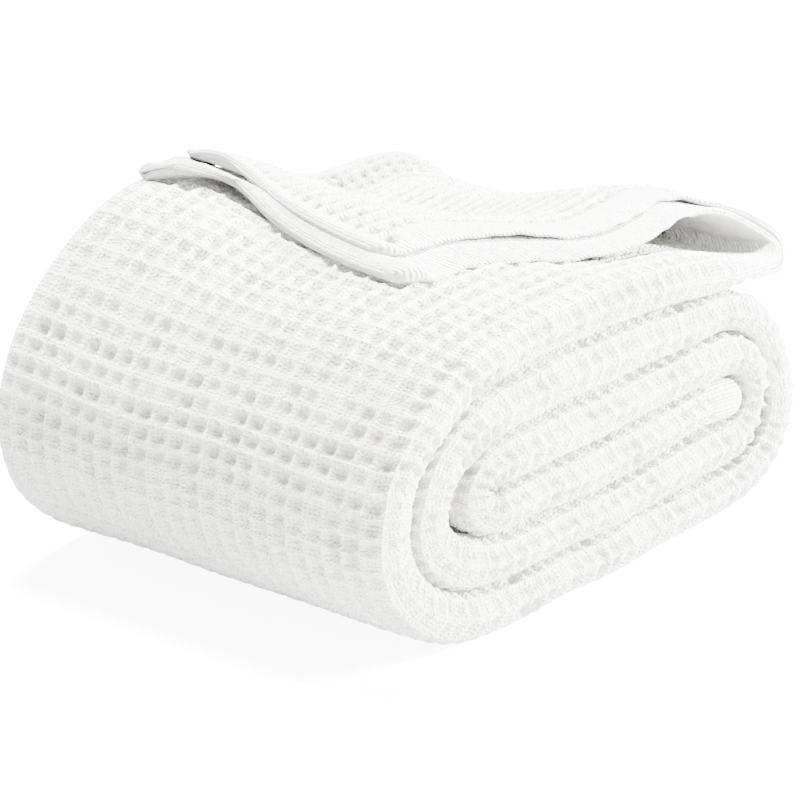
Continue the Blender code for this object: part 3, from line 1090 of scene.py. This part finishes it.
    def far_edges(self, flat: tuple) -> bpy.types.Object:
        """The plies' far edges, side by side across the band's thickness.

        Args:
            flat: cut width and length, in metres; not used.

        Returns:
            The piece.
        """
        band, end = self.band, self.band.end
        along = np.arange(0.0, band.split + end.thinning, self.EDGE_SPACING)
        t = np.linspace(0.0, 1.0, self.EDGE_COLUMNS)
        grid_t = np.broadcast_to(t[None, :], (len(along), len(t)))
        where = np.broadcast_to(along[:, None], grid_t.shape)
        thin = eased(where - band.split, 0.0, end.thinning)
        outer = band.at(where, band.outer)
        inner, _ = self.parted(where, band.at(where, band.inner))
        centre, half = (outer - inner) / 2, (outer + inner) / 2
        rounding = end_round(where, band.form.end_round)
        half = half * rounding
        reach = np.maximum(half - self.far_round(half, thin), 0.0)
        bead = np.abs(np.sin(grid_t * self.EDGE_PLIES * math.pi)) ** self.EDGE_FULLNESS
        which = np.floor(np.clip(grid_t, 0.0, 0.999) * self.EDGE_PLIES)
        stagger = ripple(where / self.STAGGER_SIZE, which * 2.3, 6.0)
        stagger = self.STAGGER * stagger - self.STAGGER
        inset = (1.0 - bead) * -self.EDGE_GROOVE + stagger * bead
        inset = inset * eased(np.minimum(grid_t, 1.0 - grid_t), 0.0, self.EDGE_FADE)
        inset = inset * (1.0 - thin)
        width = band.width_at(where)
        points = band.place(where, width + inset, centre + reach * (1.0 - 2.0 * grid_t))
        flat_places = np.stack([grid_t * self.EDGE_WIDTH, where], axis=-1)
        none = np.zeros_like(where)
        piece = self.make(Patch("far_edges", points, flat_places, none + 1.0, none, none))
        self.declare(piece)
        return piece


def end_round(distance: np.ndarray, reach: float) -> np.ndarray:
    """Share of the thickness left at a distance from a rounded end.

    Args:
        distance: distances from the end.
        reach: length of the rounding.

    Returns:
        The share, never quite 0.
    """
    least = 0.004
    share = np.clip(distance / reach, 0.0, 1.0)
    return np.maximum(np.sqrt(1.0 - (1.0 - share) ** 2), least)


def linear_colour(value: str) -> tuple:
    """Linear RGBA of an sRGB hex colour.

    Args:
        value: a hash mark and six digits.

    Returns:
        The colour.
    """
    parts = [int(value[place:place + 2], 16) / 255 for place in (1, 3, 5)]
    linear = [part / 12.92 if part <= 0.04045 else ((part + 0.055) / 1.055) ** 2.4
              for part in parts]
    return (*linear, 1.0)


def add_node(tree: bpy.types.NodeTree, kind: str, settings: dict, links: dict) -> bpy.types.Node:
    """Adds a node with its settings, socket values and incoming links.

    Args:
        tree: tree to add it to.
        kind: node type.
        settings: attribute or input names with their values.
        links: input names or numbers with the output sockets that feed them.

    Returns:
        The node.
    """
    node = tree.nodes.new(kind)
    for name, value in settings.items():
        if isinstance(name, int) or name in node.inputs:
            node.inputs[name].default_value = value
        else:
            setattr(node, name, value)
    for name, source in links.items():
        tree.links.new(source, node.inputs[name])
    return node


def cotton(finish: ClothFinish) -> bpy.types.Material:
    """Bleached cotton: matt off-white with a fine yarn, ribbed along the hems.

    Args:
        finish: colours, sizes and shares of the cloth.

    Returns:
        The material.
    """
    material = bpy.data.materials.new(finish.name)
    material.use_nodes = True
    tree = material.node_tree
    shader = tree.nodes["Principled BSDF"]
    uv = add_node(tree, "ShaderNodeUVMap", {"uv_map": "cloth"}, {})

    def scaled(size: float) -> bpy.types.NodeSocket:
        """Cloth coordinates counted in a size given in millimetres.

        Args:
            size: length that counts as one.

        Returns:
            The coordinates.
        """
        scale = 1.0 / (size * MM)
        mapping = add_node(tree, "ShaderNodeMapping", {"Scale": (scale, scale, 1.0)},
                           {"Vector": uv.outputs["UV"]})
        return mapping.outputs[0]

    def threads(size: float, direction: str, bend: float) -> bpy.types.NodeSocket:
        """Parallel threads at a spacing in millimetres.

        Args:
            size: spacing.
            direction: axis that they follow each other along.
            bend: how unevenly they run.

        Returns:
            The height of the threads.
        """
        wave = add_node(tree, "ShaderNodeTexWave",
                        {"bands_direction": direction, "Scale": WAVE_SCALE, "Distortion": bend,
                         "Detail": 2.0, "Detail Scale": 1.5}, {"Vector": scaled(size)})
        return wave.outputs["Fac"]

    hem = add_node(tree, "ShaderNodeAttribute", {"attribute_name": "hem"}, {})
    crosswise = add_node(tree, "ShaderNodeAttribute", {"attribute_name": "crosswise"}, {})
    pit = add_node(tree, "ShaderNodeAttribute", {"attribute_name": "pit"}, {})
    woven = add_node(tree, "ShaderNodeMath", {"operation": "MAXIMUM"},
                     {0: threads(finish.yarn_pitch, "X", finish.yarn_bend),
                      1: threads(finish.yarn_pitch, "Y", finish.yarn_bend)})
    ribs = add_node(tree, "ShaderNodeMix", {"data_type": "FLOAT"},
                    {0: crosswise.outputs["Fac"],
                     2: threads(finish.rib_pitch, "X", finish.rib_bend),
                     3: threads(finish.rib_pitch, "Y", finish.rib_bend)})
    plain = add_node(tree, "ShaderNodeMath", {"operation": "MULTIPLY", 1: finish.rib_share},
                     {0: ribs.outputs[0]})
    yarns = add_node(tree, "ShaderNodeMath", {"operation": "MULTIPLY", 1: finish.yarn_share},
                     {0: woven.outputs[0]})
    surface = add_node(tree, "ShaderNodeMix", {"data_type": "FLOAT"},
                       {0: hem.outputs["Fac"], 2: yarns.outputs[0], 3: plain.outputs[0]})
    fuzz = add_node(tree, "ShaderNodeTexNoise", {"Scale": 1.0, "Detail": 3.0},
                    {"Vector": scaled(finish.fuzz_size)})
    lumps = add_node(tree, "ShaderNodeTexNoise", {"Scale": 1.0, "Detail": 1.0},
                     {"Vector": scaled(finish.lump_size)})
    fine = add_node(tree, "ShaderNodeMath", {"operation": "ADD"},
                    {0: surface.outputs[0], 1: fuzz.outputs["Fac"]})
    height = add_node(tree, "ShaderNodeMath", {"operation": "ADD"},
                      {0: fine.outputs[0], 1: lumps.outputs["Fac"]})
    bump = add_node(tree, "ShaderNodeBump", {"Strength": 1.0, "Distance": finish.relief * MM},
                    {"Height": height.outputs[0]})
    tree.links.new(bump.outputs["Normal"], shader.inputs["Normal"])
    # Painted shade: the colour turns to the darker pit colour where the cells are deep.
    shade = add_node(tree, "ShaderNodeMix",
                     {"data_type": "RGBA", 6: linear_colour(finish.colour),
                      7: linear_colour(finish.pit_shade_colour)}, {0: pit.outputs["Fac"]})
    # Painted shade between the threads: where the yarn and fuzz height is low, the colour darkens
    # towards the shadow colour.
    high, low = finish.shade_heights
    between = add_node(tree, "ShaderNodeMapRange",
                       {"From Min": high, "From Max": low, "To Min": 0.0,
                        "To Max": finish.shade_share}, {"Value": fine.outputs[0]})
    yarn = add_node(tree, "ShaderNodeMix",
                    {"data_type": "RGBA", 7: linear_colour(finish.shadow_colour)},
                    {0: between.outputs[0], 6: shade.outputs[2]})
    tree.links.new(yarn.outputs[2], shader.inputs["Base Color"])
    shader.inputs["Roughness"].default_value = finish.roughness
    shader.inputs["Sheen Weight"].default_value = finish.sheen
    shader.inputs["Sheen Roughness"].default_value = finish.sheen_roughness
    shader.inputs["Specular IOR Level"].default_value = finish.specular
    return material


@dataclass(frozen=True)
class Studio:
    """Camera, lights and floor round the blanket, in metres and degrees.

    A light has its place, its size and its power in watts.
    """

    azimuth: float = 51.0
    elevation: float = 21.8
    distance: float = 3.0
    target: tuple = (-0.0073, 0.0013, 0.0770)
    view_width: float = 0.4395
    sensor: float = 36.0
    floor_size: float = 12.0
    floor_colour: str = "#fbfbfb"
    floor_roughness: float = 0.9
    floor_glow: float = 9.0
    surround: float = 0.79
    aim: tuple = (0.0, 0.0, 0.08)
    overhead: tuple = ((0.15, 0.5, 2.1), 0.6, 520.0)
    key: tuple = ((1.7, -2.1, 1.2), 0.5, 1150.0)
    fill: tuple = ((-1.9, -1.5, 0.5), 1.4, 70.0)

    def camera(self) -> None:
        """Long lens from the left of the near end face, a little above."""
        turn, tilt = math.radians(self.azimuth), math.radians(self.elevation)
        look = Vector((math.sin(turn) * math.cos(tilt), math.cos(turn) * math.cos(tilt),
                       -math.sin(tilt)))
        data = bpy.data.cameras.new("camera")
        data.sensor_width = self.sensor
        data.lens = self.sensor * self.distance / self.view_width
        data.clip_start = 0.1
        data.clip_end = 50.0
        camera = bpy.data.objects.new("camera", data)
        camera.location = Vector(self.target) - look * self.distance
        camera.rotation_euler = look.to_track_quat("-Z", "Y").to_euler()
        bpy.context.scene.collection.objects.link(camera)
        bpy.context.scene.camera = camera

    def light(self, name: str, place: tuple, size: float, power: float) -> None:
        """A square soft light that faces the blanket.

        Args:
            name: name of the light.
            place: where it hangs.
            size: its side.
            power: its power.
        """
        data = bpy.data.lights.new(name, "AREA")
        data.size = size
        data.energy = power
        lamp = bpy.data.objects.new(name, data)
        lamp.location = place
        aim = Vector(self.aim) - Vector(place)
        lamp.rotation_euler = aim.to_track_quat("-Z", "Y").to_euler()
        bpy.context.scene.collection.objects.link(lamp)

    def surroundings(self) -> None:
        """Pale floor and an even white surround."""
        world = bpy.data.worlds.new("surround")
        world.use_nodes = True
        background = world.node_tree.nodes["Background"]
        background.inputs["Color"].default_value = (1.0, 1.0, 1.0, 1.0)
        background.inputs["Strength"].default_value = self.surround
        bpy.context.scene.world = world
        shape = bmesh.new()
        bmesh.ops.create_grid(shape, x_segments=1, y_segments=1, size=self.floor_size / 2)
        mesh = bpy.data.meshes.new("floor")
        shape.to_mesh(mesh)
        shape.free()
        paint = bpy.data.materials.new("pale_floor")
        paint.use_nodes = True
        shader = paint.node_tree.nodes["Principled BSDF"]
        shader.inputs["Base Color"].default_value = linear_colour(self.floor_colour)
        shader.inputs["Roughness"].default_value = self.floor_roughness
        shader.inputs["Emission Color"].default_value = (1.0, 1.0, 1.0, 1.0)
        # The camera alone sees the glow, so the floor is white without lighting the cloth.
        ray = add_node(paint.node_tree, "ShaderNodeLightPath", {}, {})
        glow = add_node(paint.node_tree, "ShaderNodeMath",
                        {"operation": "MULTIPLY", 1: self.floor_glow},
                        {0: ray.outputs["Is Camera Ray"]})
        paint.node_tree.links.new(glow.outputs[0], shader.inputs["Emission Strength"])
        mesh.materials.append(paint)
        floor = bpy.data.objects.new("floor", mesh)
        bpy.context.scene.collection.objects.link(floor)

    def build(self) -> None:
        """Sets up camera, lights and surroundings."""
        self.camera()
        self.light("overhead", *self.overhead)
        self.light("key", *self.key)
        self.light("fill", *self.fill)
        self.surroundings()


def build_blanket() -> None:
    """Lays every piece of the cloth on the frame."""
    maker = ClothMaker(Band(RollForm(), TurnedBackEnd(), Settling()), Weave(),
                       cotton(ClothFinish()))
    band = maker.band
    cloth = band.cloth_length(Side.OUTER)
    under_top = cloth[place_on(band, *UNDER_TOP_PASS)]
    base_left = cloth[place_on(band, *LEFT_OF_BASE_PASS)]
    LOG.info("cloth length %.0f mm, splits at %.0f and %.0f", cloth[-1], under_top, base_left)
    hidden, shown = maker.weave.inner_fine, maker.weave.full_width
    maker.cover("inner_turns", 0.0, under_top, hidden)
    maker.cover("outer_turn_base", under_top, base_left, shown)
    maker.cover("outer_turn_top", base_left, cloth[-1], shown, last=True)
    maker.upper_layer((0.24, 0.33))
    maker.far_edges((0.030, 1.95))


def place_on(band: Band, x: float, z: float) -> int:
    """Row of the band's table closest to a place in its section.

    Args:
        band: the band.
        x: place across the section.
        z: height in the section.

    Returns:
        The row.
    """
    rows = band.rows
    return int(np.argmin((rows[:, 0] - x) ** 2 + (rows[:, 4] - z) ** 2))


def main() -> None:
    """Builds the blanket and its studio."""
    logging.basicConfig(level=logging.INFO, format="%(message)s")
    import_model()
    build_blanket()
    Studio().build()


if __name__ == "__main__":
    main()
